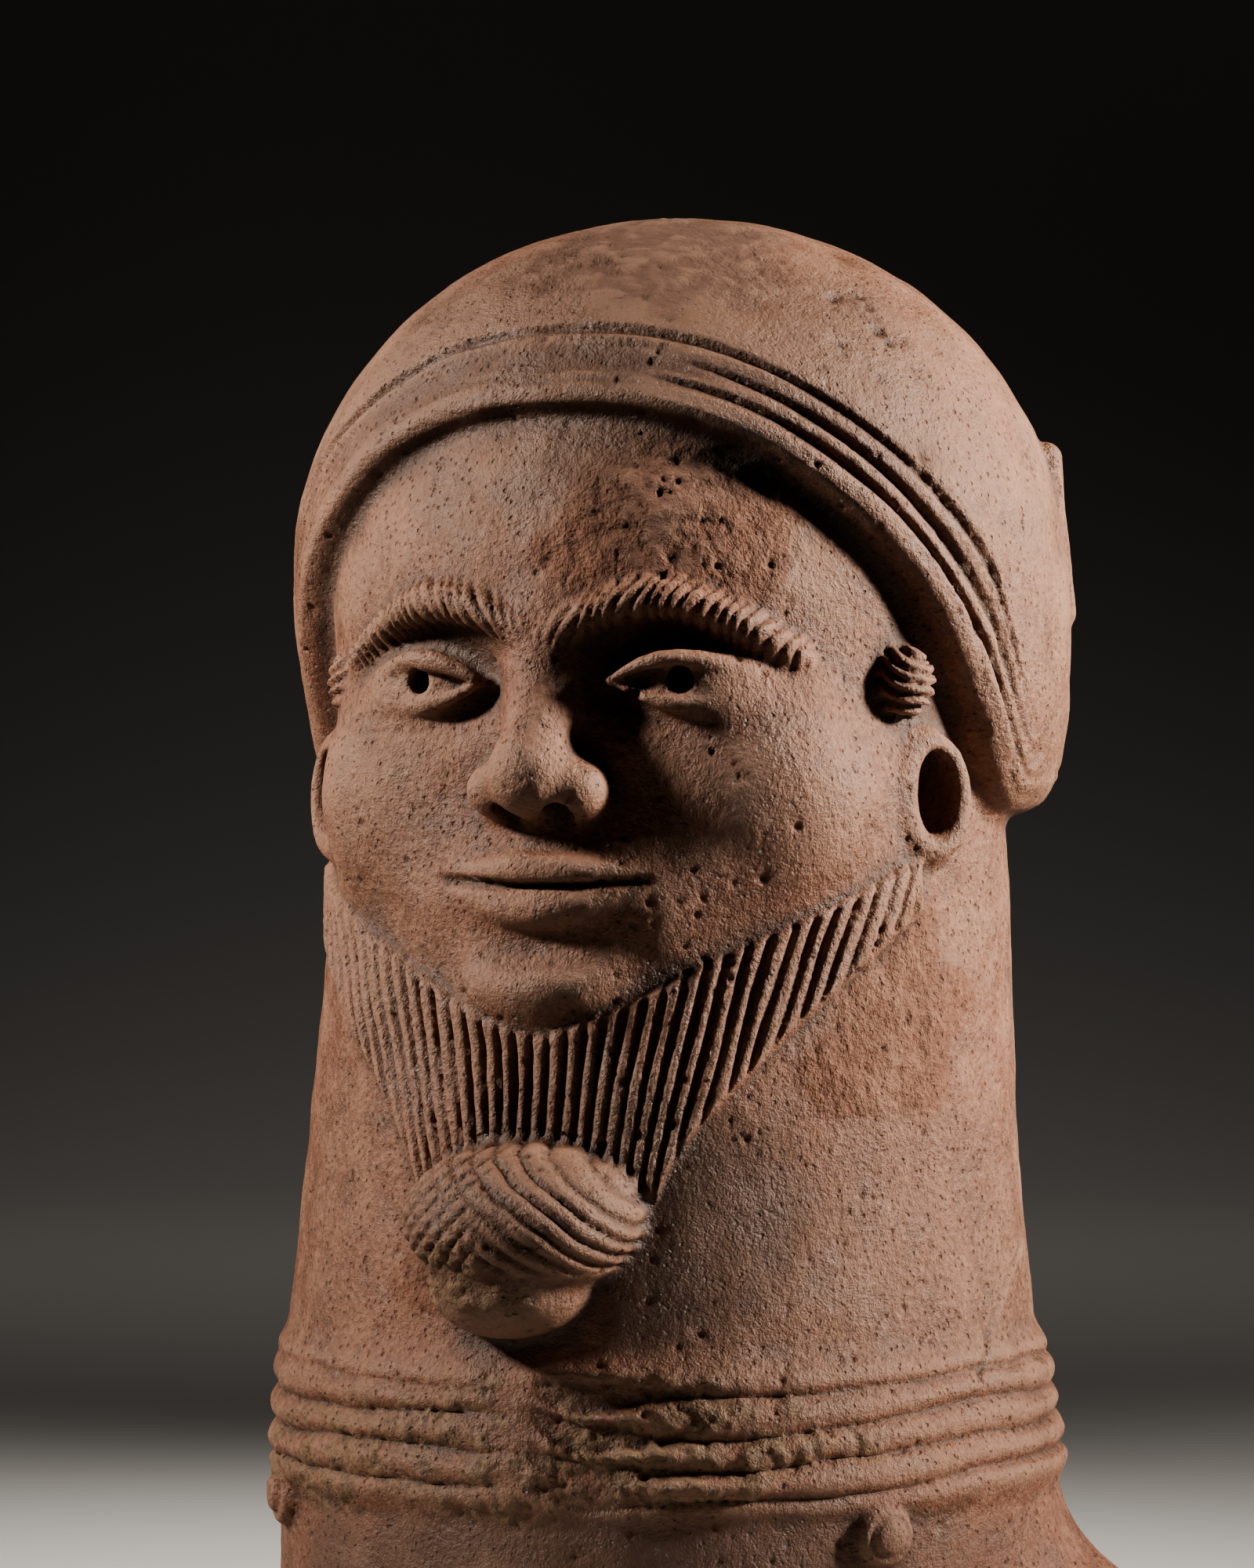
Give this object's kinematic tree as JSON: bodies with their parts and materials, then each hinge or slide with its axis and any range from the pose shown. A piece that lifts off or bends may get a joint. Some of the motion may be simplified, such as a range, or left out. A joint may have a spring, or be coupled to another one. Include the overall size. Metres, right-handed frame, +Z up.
{
  "type": "terracotta head bust",
  "caption": "Terracotta head with a thick cap, combed beard with a hatched tuft, and a long neck with drawn rings, cut flat below.",
  "frame": {"origin": "middle of the neck's column, in the flat underside that the bust stands on", "axes": "+Z up along the neck, the face looks along -Y, +X to the figure's left"},
  "size_m": [0.2618, 0.2295, 0.3641],
  "materials": {
    "fired_clay": "unglazed red-brown fired clay, dull, pitted and gritty, with burnished and rubbed lighter patches"
  },
  "bodies": {
    "root": {"terracotta_head": "fired_clay"}
  },
  "joints": []
}
